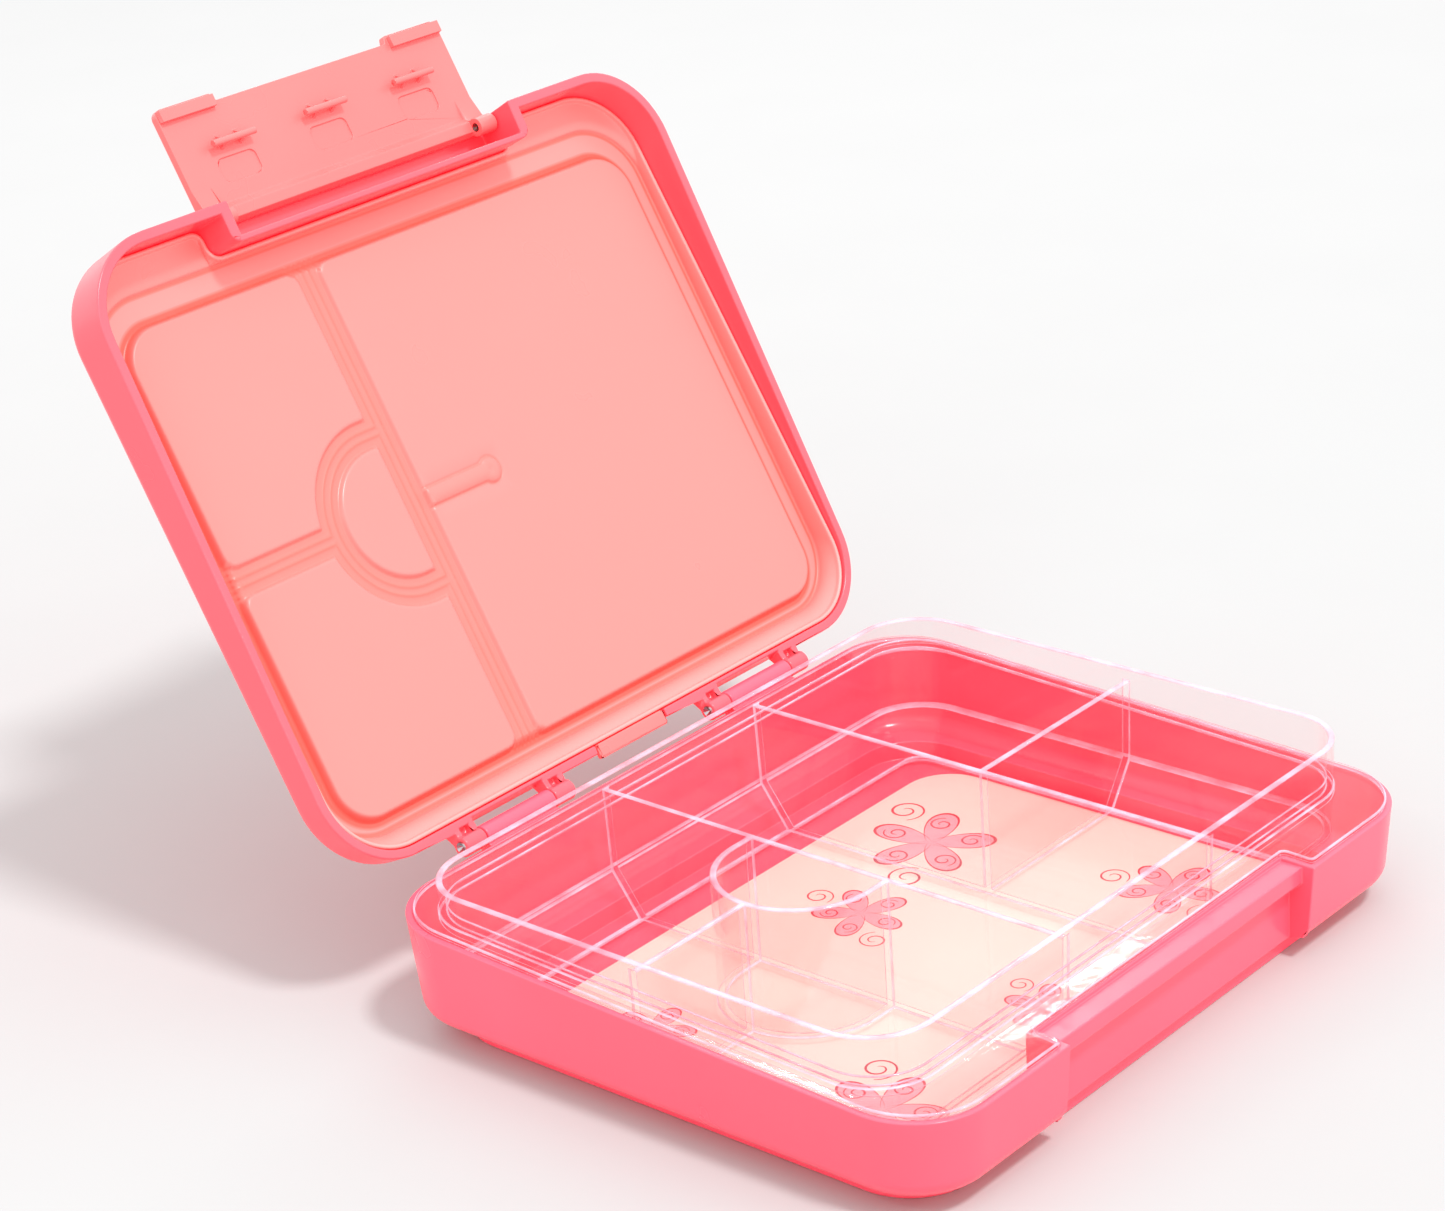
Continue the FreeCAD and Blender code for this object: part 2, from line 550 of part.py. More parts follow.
s = new_sketch(seal, "SealShelf", "XY", "seal_low")
outline(s, [("(%s - seal_lip)" % sx, "-(%s - seal_lip)" % sf, "(%s - seal_lip)" % sr),
            ("(%s - seal_lip)" % sx, "(%s - seal_lip)" % sb, "(%s - seal_lip)" % sr),
            ("-(%s - seal_lip)" % sx, "(%s - seal_lip)" % sb, "(%s - seal_lip)" % sr),
            ("-(%s - seal_lip)" % sx, "-(%s - seal_lip)" % sf, "(%s - seal_lip)" % sr),
            ("-(%s + seal_lip)" % sj, "-(%s - seal_lip)" % sf, "2.3"),
            ("-(%s + seal_lip)" % sj, "-(%s - seal_lip)" % sn, "(jog_corner + seal_gap + seal_lip)"),
            ("(%s + seal_lip)" % sj, "-(%s - seal_lip)" % sn, "(jog_corner + seal_gap + seal_lip)"),
            ("(%s + seal_lip)" % sj, "-(%s - seal_lip)" % sf, "2.3")])
pocket(seal, s, "seal_shelf - seal_low")
s = new_sketch(seal, "TrayRimRoom", "XY", "seal_low")
rounded(s, "-(tray_width / 2 + seal_gap)", "(tray_width / 2 + seal_gap)",
        "-(tray_front + seal_gap)", "(tray_back + seal_gap)", "(tray_corner + seal_gap)")
pocket(seal, s, "seal_plate - seal_low")
s = new_sketch(seal, "SealMouth", "YZ")
polygon(s, [("-130", SKIRT % "-130"), ("130", SKIRT % "130"), ("130", "10"), ("-130", "10")])
pocket(seal, s, both=True)
s = new_sketch(seal, "Panel", "XY", "panel_low")
rounded(s, "-panel_half", "panel_half", "-panel_front", "panel_back", "panel_corner")
pad(seal, s, "seal_plate - panel_low + 0.2")

# grooves in the panel, over the tray's left divider, cup wall and side divider
s = new_sketch(seal, "GrooveLeft", "XY", "panel_low")
rounded(s, "-(divider_left + groove_width / 2)", "-(divider_left - groove_width / 2)",
        "-(panel_front + 1)", "(panel_back + 1)", "0.5")
pocket(seal, s, "groove_depth", along=True)
s = new_sketch(seal, "GrooveCup", "XY", "panel_low")
cup_sketch(s, "groove_width", "-divider_left")
pocket(seal, s, "groove_depth", along=True)
s = new_sketch(seal, "GrooveSide", "XY", "panel_low")
rounded(s, "-(panel_half + 1)", "-(cup_centre + cup_radius)", "(cup_mid - groove_width / 2)",
        "(cup_mid + groove_width / 2)", "0.5")
pocket(seal, s, "groove_depth", along=True)

# a short raised bar beside the cup's groove
s = new_sketch(seal, "Bar", "XY", "panel_low - bar_raise")
rounded(s, "-(divider_left - groove_width / 2 - 1)", "-bar_end", "(cup_mid - groove_width / 2)",
        "(cup_mid + groove_width / 2)", "3")
pad(seal, s, "bar_raise + 0.2")

# the panel is a thin skin: its back, against the lid's ceiling, is hollow
s = new_sketch(seal, "PanelBack", "XY", "lid_ceiling")
rounded(s, "-(panel_half - panel_skin)", "(panel_half - panel_skin)",
        "-(panel_front - panel_skin)", "(panel_back - panel_skin)", "(panel_corner - panel_skin)")
pocket(seal, s, "lid_ceiling - panel_low - panel_skin")

tab = new_body("seal_pull_tab")
s = new_sketch(tab, "TabOutline", "XY", "seal_low")
rounded(s, "-(tab_half - 0.5)", "(tab_half - 0.5)", "(%s + 0.3)" % sb, "(lid_back + 1.4)", "0.8")
pad(tab, s, "1.7")

# ---------------------------------------------------------------- latch
latch = new_body("latch")
s = new_sketch(latch, "FlapOutline", "XZ", "latch_skin - latch_thick")
outline(s, [("latch_half", "ear_tip", "2.4"), ("latch_half", "latch_root", "1.2"),
            ("-latch_half", "latch_root", "1.2"), ("-latch_half", "ear_tip", "2.4"),
            ("-ear_inner", "ear_tip", "0.8"), ("-(ear_inner - 1)", "latch_tip", "0.6"),
            ("(ear_inner - 1)", "latch_tip", "0.6"), ("ear_inner", "ear_tip", "0.8")])
pad(latch, s, "latch_thick")
inner = "(latch_skin - latch_thick)"
for side, sign in (("left", "-"), ("right", "")):
    s = new_sketch(latch, "Ear_" + side, "XZ", "%s - ear_depth" % inner)
    box_outline(s, "%s(latch_half + ear_inner) / 2 - (latch_half - ear_inner) / 2 + 0.4" % sign,
                "%s(latch_half + ear_inner) / 2 + (latch_half - ear_inner) / 2 - 0.4" % sign,
                "(ear_tip + 0.6)", "(ear_tip + ear_height)")
    pad(latch, s, "ear_depth + 0.2")
    s = new_sketch(latch, "Gusset_" + side, "YZ", "%s(gusset_inner + latch_half) / 2" % sign)
    polygon(s, [("-(%s + 0.2)" % inner, "(latch_root - 0.4)"), ("-(%s + 0.2)" % inner, "gusset_low"),
                ("-(latch_y + latch_knuckle * 0.6)", "(latch_z - latch_knuckle)"),
                ("-(latch_y - latch_knuckle * 0.5)", "(latch_z - latch_knuckle * 0.8)"),
                ("-latch_y", "latch_z"), ("-latch_y", "(latch_z + latch_knuckle * 0.96)")])
    pad(latch, s, "latch_half - gusset_inner", both=True)
    s = new_sketch(latch, "Knuckle_" + side, "YZ", "%s(gusset_inner + latch_half) / 2" % sign)
    circle(s, "-latch_y", "latch_z", "latch_knuckle")
    pad(latch, s, "latch_half - gusset_inner", both=True)
s = new_sketch(latch, "RootBar", "YZ")
polygon(s, [("-(%s + 0.2)" % inner, "latch_root"), ("-(%s + 0.2)" % inner, "(latch_root - 6)"),
            ("-(%s - 1.8)" % inner, "(latch_root - 4)"), ("-(%s - 1.8)" % inner, "(latch_root - 1)")])
pad(latch, s, "2 * latch_half - 2.4", both=True)
for number_of, place in ((1, "-bar_pitch"), (2, "0"), (3, "bar_pitch")):
    s = new_sketch(latch, "Bar%d" % number_of, "YZ", place if place != "0" else None)
    circle(s, "-bar_y", "bar_z", "bar_radius")
    pad(latch, s, "bar_length", both=True)
    for hand, shift in (("a", "- web_spread"), ("b", "+ web_spread")):
        s = new_sketch(latch, "Web%d%s" % (number_of, hand), "YZ", "%s %s" % (place, shift))
        polygon(s, [("-(%s + 0.2)" % inner, "(bar_z - 2.6)"), ("-(bar_y + 0.1)", "(bar_z - 0.7)"),
                    ("-(bar_y + 0.1)", "(bar_z + 0.7)"), ("-(%s + 0.2)" % inner, "(bar_z + 2)")])
        pad(latch, s, "web_thick", both=True)
    s = new_sketch(latch, "Mark%d" % number_of, "XZ", inner)
    if place == "0":
        rounded(s, "-7", "7", "(bar_z + 4)", "(bar_z + 11)", "2")
    else:
        rounded(s, "(%s - 7)" % place, "(%s + 7)" % place, "(bar_z + 4)", "(bar_z + 11)", "2")
    pocket(latch, s, "0.5")
s = new_sketch(latch, "LatchBore", "YZ")
circle(s, "-latch_y", "latch_z", "(latch_pin + pin_fit)")
pocket(latch, s, both=True)


# ---------------------------------------------------------------- pins
def pin(label, middle, length, y, z, radius):
    """A round steel pin along X with small end chamfers."""
    body = new_body(label)
    sketch = new_sketch(body, "Section_" + label, "YZ", middle)
    circle(sketch, y, z, radius)
    pad(body, sketch, length, both=True)
    base = body.Tip
    feature = body.newObject("PartDesign::Chamfer", "Ends_" + label)
    feature.Base = (base, edges_where(base.Shape, lambda edge: edge.Closed))
    feature.Size = 0.3
    doc.recompute()
    return body


hinge_middle = "((arm_near + arm_far + arm_width) / 2)"
hinge_length = "(arm_far + arm_width - arm_near + 2 * pin_over)"
pins = [
    pin("hinge_pin_left", "-" + hinge_middle, hinge_length, "hinge_y", "hinge_z", "pin_radius"),
    pin("hinge_pin_right", hinge_middle, hinge_length, "hinge_y", "hinge_z", "pin_radius"),
]
latch_middle = "((gusset_inner + notch_half + 2.2) / 2)"
latch_length = "(notch_half + 2.2 - gusset_inner)"
latch_pins = [
    pin("latch_pin_left", "-" + latch_middle, latch_length, "-latch_y", "latch_z", "latch_pin"),
    pin("latch_pin_right", latch_middle, latch_length, "-latch_y", "latch_z", "latch_pin"),
]

# ---------------------------------------------------------------- placing: lid open on its stop
axis_x = FreeCAD.Vector(1, 0, 0)
hinge_point = FreeCAD.Vector(0, number("hinge_y"), number("hinge_z"))
latch_point = FreeCAD.Vector(0, -number("latch_y"), number("latch_z"))
nowhere = FreeCAD.Vector(0, 0, 0)
lid_turn = FreeCAD.Rotation(axis_x, -number("lid_angle"))
opened = FreeCAD.Placement(nowhere, lid_turn, hinge_point)
latch_turn = FreeCAD.Rotation(axis_x, -number("latch_angle"))
extended = opened.multiply(FreeCAD.Placement(nowhere, latch_turn, latch_point))
for body in [lid, seal, tab] + latch_pins:
    body.Placement = opened
latch.Placement = extended
doc.recompute()

# ---------------------------------------------------------------- checks and files
bodies = [tub, card, tray, lid, seal, tab, latch] + pins + latch_pins
for item in doc.Objects:
    bad = [state for state in item.State if state in ("Invalid", "Error")]
    if bad:
        print("state", item.Name, item.Label, bad)
os.makedirs("parts", exist_ok=True)
for body in bodies:
    shape = body.Shape
    if shape.isNull() or not shape.isValid():
        raise ValueError("bad shape in " + body.Label)
    box = shape.BoundBox
    print("%-16s solids %d volume %9.1f  x %.1f %.1f  y %.1f %.1f  z %.1f %.1f" % (
        body.Label, len(shape.Solids), shape.Volume, box.XMin, box.XMax, box.YMin, box.YMax,
        box.ZMin, box.ZMax))
    shape.exportStep("parts/%s.step" % body.Label)
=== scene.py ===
"""The looks of the lunch box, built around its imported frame. Lengths are metres, angles degrees."""

import json
import math

import bmesh
import bpy
from mathutils import Matrix, Vector
from mathutils.bvhtree import BVHTree
from mathutils.geometry import delaunay_2d_cdt


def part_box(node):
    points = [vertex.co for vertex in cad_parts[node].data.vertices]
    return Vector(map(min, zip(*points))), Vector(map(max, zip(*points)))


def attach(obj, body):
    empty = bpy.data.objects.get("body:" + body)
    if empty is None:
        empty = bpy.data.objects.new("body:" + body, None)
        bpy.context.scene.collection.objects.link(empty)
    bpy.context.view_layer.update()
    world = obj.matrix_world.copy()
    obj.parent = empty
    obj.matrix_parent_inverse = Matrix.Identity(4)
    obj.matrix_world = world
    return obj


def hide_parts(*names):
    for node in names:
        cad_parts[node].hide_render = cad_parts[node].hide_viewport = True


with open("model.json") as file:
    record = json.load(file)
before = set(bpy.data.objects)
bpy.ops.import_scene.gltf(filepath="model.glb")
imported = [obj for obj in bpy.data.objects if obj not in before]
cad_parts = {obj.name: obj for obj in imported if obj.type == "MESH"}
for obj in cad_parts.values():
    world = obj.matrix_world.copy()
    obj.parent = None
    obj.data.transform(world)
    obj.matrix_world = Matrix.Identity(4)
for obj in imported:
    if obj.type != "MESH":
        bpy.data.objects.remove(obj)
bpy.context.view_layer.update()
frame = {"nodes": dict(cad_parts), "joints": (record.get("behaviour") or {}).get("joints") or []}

MM = 0.001
scene = bpy.context.scene
joints = {joint["name"]: joint for joint in frame["joints"]}

# the lid's parts are described as they lie on the closed box, then turned open about the hinge
hinge = Matrix.Translation(joints["lid_hinge"]["pos_m"])
closing = math.radians(joints["lid_hinge"]["range_deg"][0])
TO_CLOSED = hinge @ Matrix.Rotation(closing, 4, joints["lid_hinge"]["axis"]) @ hinge.inverted()
TO_OPEN = TO_CLOSED.inverted()


def smooth_step(share):
    share = min(max(share, 0.0), 1.0)
    return share * share * (3 - 2 * share)


def closed_box(node):
    """The box of one of the lid's nodes with the lid closed, in millimetres."""
    points = [TO_CLOSED @ vertex.co for vertex in frame["nodes"][node].data.vertices]
    low = [min(point[axis] for point in points) / MM for axis in range(3)]
    high = [max(point[axis] for point in points) / MM for axis in range(3)]
    return low, high


# ---------------------------------------------------------------- materials
def new_material(name):
    made = bpy.data.materials.new(name)
    made.use_nodes = True
    tree = made.node_tree
    return made, tree, tree.nodes["Principled BSDF"]


def noise(tree, scale, detail=3.0):
    """Noise over the object's own coordinates; scale is waves per metre."""
    place = tree.nodes.new("ShaderNodeTexCoord")
    made = tree.nodes.new("ShaderNodeTexNoise")
    made.inputs["Scale"].default_value = scale
    made.inputs["Detail"].default_value = detail
    tree.links.new(place.outputs["Object"], made.inputs["Vector"])
    return made.outputs["Fac"]


def span(tree, source, low, high):
    """Maps the middle of a noise's range to the range from low to high."""
    made = tree.nodes.new("ShaderNodeMapRange")
    made.inputs["From Min"].default_value = 0.3
    made.inputs["From Max"].default_value = 0.7
    made.inputs["To Min"].default_value = low
    made.inputs["To Max"].default_value = high
    tree.links.new(source, made.inputs["Value"])
    return made.outputs["Result"]


def mix_colours(tree, share, first, second):
    made = tree.nodes.new("ShaderNodeMix")
    made.data_type = "RGBA"
    tree.links.new(share, made.inputs["Factor"])
    for socket, value in ((made.inputs["A"], first), (made.inputs["B"], second)):
        if isinstance(value, tuple):
            socket.default_value = (*value, 1.0)
        else:
            tree.links.new(value, socket)
    return made.outputs["Result"]


def surface_detail(tree, shader, rough, grain, height):
    """Gloss that varies over the surface, and the faint waviness of a moulding."""
    tree.links.new(span(tree, noise(tree, 45.0), rough * 0.8, rough * 1.25), shader.inputs["Roughness"])
    bump = tree.nodes.new("ShaderNodeBump")
    bump.inputs["Strength"].default_value = 0.5
    bump.inputs["Distance"].default_value = height
    tree.links.new(noise(tree, grain), bump.inputs["Height"])
    tree.links.new(bump.outputs["Normal"], shader.inputs["Normal"])


def moulded(name, colour, rough, grain=160.0, height=0.00006, vary=0.06, glow=0.0):
    """Coloured plastic or paper: the colour drifts a little over the part.

    Glow is painted light: a red emission that lifts the pink plastic's shaded sides, though the part is no
    lamp.
    """
    made, tree, shader = new_material(name)
    darker = tuple(part * (1 - vary) for part in colour)
    lighter = tuple(min(part * (1 + vary), 1.0) for part in colour)
    shade = mix_colours(tree, span(tree, noise(tree, 14.0), 0.0, 1.0), darker, lighter)
    tree.links.new(shade, shader.inputs["Base Color"])
    # painted glow: a red emission that brightens the part where it lies in shade
    shader.inputs["Emission Color"].default_value = (1.0, 0.03, 0.06, 1.0)
    shader.inputs["Emission Strength"].default_value = glow
    surface_detail(tree, shader, rough, grain, height)
    return made


def tinted(name, shades, rough):
    """Soft plastic that darkens with the mesh's tint attribute: partly the thin seal's own colour, partly
    painted shade in its hollows.
    """
    made, tree, shader = new_material(name)
    tint = tree.nodes.new("ShaderNodeAttribute")
    tint.attribute_name = "tint"
    ramp = tree.nodes.new("ShaderNodeValToRGB")
    while len(ramp.color_ramp.elements) < len(shades):
        ramp.color_ramp.elements.new(0.5)
    for element, (place, colour) in zip(ramp.color_ramp.elements, shades):
        element.position = place
        element.color = (*colour, 1.0)
    tree.links.new(tint.outputs["Fac"], ramp.inputs["Fac"])
    cloud = span(tree, noise(tree, 25.0), 0.0, 0.12)
    shade = mix_colours(tree, cloud, ramp.outputs["Color"], shades[1][1])
    tree.links.new(shade, shader.inputs["Base Color"])
    surface_detail(tree, shader, rough, 220.0, 0.00005)
    return made


def clear_plastic(name, film, least, most):
    """See-through plastic: what is behind shows through a film, and more of the film at grazing angles.

    On a wall the film is a mirror. On an edge it is pink and lavender colour with its own gloss: a painted
    glint for the light that the edge catches.
    """
    made, tree, shader = new_material(name)
    # on an edge the film's colours are painted glints and painted reflection
    if film:
        shade = mix_colours(tree, span(tree, noise(tree, 120.0), 0.0, 1.0), film[0], film[1])
        tree.links.new(shade, shader.inputs["Base Color"])
    else:
        shader.inputs["Base Color"].default_value = (1.0, 0.97, 0.98, 1.0)
        shader.inputs["Metallic"].default_value = 1.0
    surface_detail(tree, shader, 0.05, 60.0, 0.0002)
    through = tree.nodes.new("ShaderNodeBsdfTransparent")
    through.inputs["Color"].default_value = (0.995, 0.945, 0.948, 1.0)
    grazing = tree.nodes.new("ShaderNodeLayerWeight")
    grazing.inputs["Blend"].default_value = 0.5
    steep = tree.nodes.new("ShaderNodeMath")
    steep.operation = "POWER"
    steep.inputs[1].default_value = 4.0
    tree.links.new(grazing.outputs["Facing"], steep.inputs[0])
    share = tree.nodes.new("ShaderNodeMapRange")
    share.inputs["To Min"].default_value = least
    share.inputs["To Max"].default_value = most
    tree.links.new(steep.outputs["Value"], share.inputs["Value"])
    mixed = tree.nodes.new("ShaderNodeMixShader")
    tree.links.new(share.outputs["Result"], mixed.inputs["Fac"])
    tree.links.new(through.outputs["BSDF"], mixed.inputs[1])
    tree.links.new(shader.outputs["BSDF"], mixed.inputs[2])
    tree.links.new(mixed.outputs["Shader"], tree.nodes["Material Output"].inputs["Surface"])
    return made


def steel(name, darker, lighter):
    made, tree, shader = new_material(name)
    shade = mix_colours(tree, span(tree, noise(tree, 300.0), 0.0, 1.0), darker, lighter)
    tree.links.new(shade, shader.inputs["Base Color"])
    shader.inputs["Metallic"].default_value = 1.0
    surface_detail(tree, shader, 0.24, 1500.0, 0.00002)
    return made


# the pink parts carry a painted red glow that lifts their shaded sides
shell_pink = moulded("shell_pink", (0.98, 0.110, 0.170), 0.22, glow=0.2)
lid_pink = moulded("lid_pink", (0.98, 0.105, 0.135), 0.22, glow=0.2)
latch_pink = moulded("latch_pink", (0.98, 0.175, 0.165), 0.30, vary=0.04, glow=0.2)
seal_shades = [(0.0, (0.98, 0.330, 0.310)), (0.25, (0.98, 0.220, 0.200)), (0.6, (0.98, 0.165, 0.135)),
               (1.0, (0.98, 0.085, 0.055))]
seal_soft = tinted("seal_soft", seal_shades, 0.34)
clear_wall = clear_plastic("clear_wall", None, 0.015, 0.45)
# painted glints: pink and lavender colour on the tray's edges for the light they catch
painted_edge_glint = clear_plastic("painted_edge_glint", ((0.84, 0.32, 0.42), (0.80, 0.72, 0.88)), 0.55, 0.9)
pin_steel = steel("pin_steel", (0.42, 0.42, 0.44), (0.62, 0.62, 0.64))
dark_steel = steel("dark_steel", (0.07, 0.03, 0.03), (0.20, 0.12, 0.11))
card_paper = moulded("card_paper", (0.80, 0.70, 0.60), 0.55, grain=900.0, height=0.00003, vary=0.03)
ink_pink = moulded("ink_pink", (0.82, 0.38, 0.42), 0.5, grain=900.0, height=0.00003, vary=0.15)
ink_dark = moulded("ink_dark", (0.42, 0.02, 0.05), 0.5, grain=900.0, height=0.00003, vary=0.1)


# ---------------------------------------------------------------- pieces
MERGE_DISTANCE = 2e-6
FLAT_ANGLE = math.radians(0.02)
NARROW_ANGLE = math.radians(32)
STRAY_SHARE = 0.6


def place(name, mesh, body, slot, materials, *nodes):
    """A new piece that rides on a body and stands for CAD nodes."""
    for made in materials:
        mesh.materials.append(made)
    piece = bpy.data.objects.new(name, mesh)
    scene.collection.objects.link(piece)
    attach(piece, body)
    if nodes:
        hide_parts(*nodes)
    return piece


def mark_sharp_edges(work, angle):
    """Marks the edges to round, except those that run into another at a narrow angle."""
    weight = work.edges.layers.float.new("bevel_weight_edge")
    for edge in work.edges:
        if len(edge.link_faces) == 2 and edge.calc_face_angle() > angle:
            edge[weight] = 1.0
    for face in work.faces:
        for loop in face.loops:
            meeting = (loop.edge, loop.link_loop_prev.edge)
            if loop.calc_angle() < NARROW_ANGLE and all(edge[weight] for edge in meeting):
                for edge in meeting:
                    edge[weight] = 0.0


def softened(name, node, body, slot, materials, width, angle=28.0):
    """The CAD node's own shape with its sharp edges rounded by a moulding's small radius.

    The second material, if there is one, goes on the rounded edges.
    """
    source = bmesh.new()
    source.from_mesh(frame["nodes"][node].data)
    skin = BVHTree.FromBMesh(source)
    bmesh.ops.remove_doubles(source, verts=source.verts, dist=MERGE_DISTANCE)
    bmesh.ops.dissolve_limit(source, angle_limit=FLAT_ANGLE, verts=source.verts, edges=source.edges)
    for face in source.faces:
        face.smooth = True
        face.material_index = 0
    mark_sharp_edges(source, math.radians(angle))
    plain = bpy.data.meshes.new(name + "_plain")
    source.to_mesh(plain)
    source.free()
    for made in materials:
        plain.materials.append(made)
    maker = bpy.data.objects.new(name + "_plain", plain)
    scene.collection.objects.link(maker)
    bevel = maker.modifiers.new("EdgeRound", "BEVEL")
    bevel.limit_method = "WEIGHT"
    bevel.width = width
    bevel.segments = 3
    bevel.use_clamp_overlap = False
    bevel.material = len(materials) - 1
    rounded = bpy.data.meshes.new_from_object(maker.evaluated_get(bpy.context.evaluated_depsgraph_get()))
    rounded.name = name
    bpy.data.objects.remove(maker)
    # where short edges meet, a rounding can shoot past its corner: such points go back to the CAD skin
    low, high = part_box(node)
    for vertex in rounded.vertices:
        nearest, _, _, distance = skin.find_nearest(vertex.co)
        if distance > width * STRAY_SHARE:
            vertex.co = nearest
        vertex.co = [min(max(part, least), most) for part, least, most in zip(vertex.co, low, high)]
    piece = place(name, rounded, body, slot, [], node)
    piece.modifiers.new("FlatFaces", "WEIGHTED_NORMAL").keep_sharp = True
    return piece


def lathe(name, node, body, slot, material, dome):
    """A pin along X in the CAD pin's box, with domed ends."""
    low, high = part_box(node)
    middle = (low + high) / 2
    radius = (high.z - low.z) / 2
    around = 40
    steps = 8
    profile = []
    for step in range(steps + 1):
        turn = math.pi / 2 * step / steps
        profile.append((low.x + dome * (1 - math.sin(math.pi / 2 - turn)), radius * math.cos(turn)))
    profile.reverse()
    profile += [(low.x + high.x - x, r) for x, r in reversed(profile)]
    work = bmesh.new()
    rings = []
    for x, ring_radius in profile:
        ring_radius = max(ring_radius, radius * 0.02)
        ring = []
        for step in range(around):
            turn = 2 * math.pi * step / around
            ring.append(work.verts.new((x, middle.y + ring_radius * math.cos(turn),
                                        middle.z + ring_radius * math.sin(turn))))
        rings.append(ring)
    for first, second in zip(rings, rings[1:]):
        for step in range(around):
            after = (step + 1) % around
            work.faces.new((first[step], first[after], second[after], second[step]))
    work.faces.new(rings[0])
    work.faces.new(rings[-1])
    bmesh.ops.recalc_face_normals(work, faces=work.faces)
    for face in work.faces:
        face.smooth = True
    mesh = bpy.data.meshes.new(name)
    work.to_mesh(mesh)
    work.free()
    return place(name, mesh, body, slot, [material], node)


softened("tub", "base_shell", "base", "shell", [shell_pink], 0.0004)
softened("lid", "lid_shell", "lid", "shell", [lid_pink], 0.0005)
softened("latch_flap", "latch", "latch", "latch", [latch_pink], 0.00022)
clear_tray = softened("clear_tray", "tray", "tray", "clear", [clear_wall, painted_edge_glint], 0.0005)
# the tray's rounded edges, its rim and the tops of its dividers wear the edge material: painted glints
DIVIDER_TOP = 40.5 * MM
for polygon in clear_tray.data.polygons:
    if polygon.normal.z > 0.9 and polygon.center.z > DIVIDER_TOP:
        polygon.material_index = 1
softened("pull_tab", "seal_pull_tab", "tab", "seal", [latch_pink], 0.0004)
lathe("pin_left", "hinge_pin_left", "base", "steel", pin_steel, 0.0011)
lathe("pin_right", "hinge_pin_right", "base", "steel", pin_steel, 0.0011)
lathe("latch_pin_a", "latch_pin_left", "lid", "steel", dark_steel, 0.0008)
lathe("latch_pin_b", "latch_pin_right", "lid", "steel", dark_steel, 0.0008)

# ---------------------------------------------------------------- seal
ARC = 10
STRAIGHT = 14


def arc_points(cx, cy, radius, start, end, steps=ARC):
    made = []
    for step in range(steps + 1):
        turn = math.radians(start + (end - start) * step / steps)
        made.append((cx + radius * math.cos(turn), cy + radius * math.sin(turn)))
    return made


def line_points(first, second, steps=STRAIGHT):
    """Points between two ends, without them."""
    made = []
    for step in range(1, steps):
        share = step / steps
        made.append((first[0] + (second[0] - first[0]) * share, first[1] + (second[1] - first[1]) * share))
    return made


def jogged(size, inset, wave=1.0):
    """A rounded outline whose front edge steps in for the latch, moved in by inset.

    Wave 0 flattens that step. Every outline has as many points, so that two can be joined.
    """
    half = size["half"] - inset
    front = size["front"] + inset
    back = size["back"] - inset
    corner = size["corner"] - inset
    jog = size["jog"] + inset
    notch = size["notch"] + inset
    inner = size["inner"] + inset
    outer = size["outer"] - inset
    step = arc_points(jog - inner, notch - inner, inner, 90, 0)
    step += arc_points(jog + outer, front + outer, outer, 180, 270)
    step = [(x, front + wave * (y - front)) for x, y in step]
    start = [(0.0, step[0][1])]
    right = start + line_points(start[0], step[0]) + step
    turn = arc_points(half - corner, front + corner, corner, 270, 360, 2 * ARC)
    right += line_points(right[-1], turn[0]) + turn
    turn = arc_points(half - corner, back - corner, corner, 0, 90, 2 * ARC)
    right += line_points(right[-1], turn[0]) + turn
    right += line_points(right[-1], (0.0, back)) + [(0.0, back)]
    left = [(-x, y) for x, y in reversed(right[1:-1])]
    return right + left


def between(first, second, share):
    """An outline on the way from one to the other."""
    return [(ax + (bx - ax) * share, ay + (by - ay) * share) for (ax, ay), (bx, by) in zip(first, second)]


seal_low, seal_high = closed_box("lid_seal")
SKIRT = {"half": seal_high[0], "front": seal_low[1], "back": seal_high[1], "corner": 20.9,
         "jog": 58.2, "notch": -75.9, "inner": 3.5, "outer": 3.5}
ROOM = {"half": 105.1, "front": -74.6, "back": 82.3, "corner": 18.8,
        "jog": 58.2, "notch": -66.0, "inner": 3.5, "outer": 3.5}
PANEL = {"half": 98.0, "front": -65.5, "back": 78.0, "corner": 12.0,
         "jog": 58.2, "notch": -56.9, "inner": 3.5, "outer": 3.5}
BACK_Z = seal_high[2]
SKIRT_Z = 36.9
SKIRT_SLOPE = 0.026
SKIRT_LEVEL_Y = 90.4
PLATE_Z = 44.9
PANEL_Z = 42.1
GROOVE = 1.1
GROOVE_HALF = 3.7
CUP_X = -37.5
CUP_Y = 6.0
CUP_R = 22.5
DIVIDER_X = -30.0
BEAD = 0.6


def skirt_z(y):
    """The skirt's free edge lies deeper in the lid towards the front."""
    return SKIRT_Z + SKIRT_SLOPE * (SKIRT_LEVEL_Y - y)


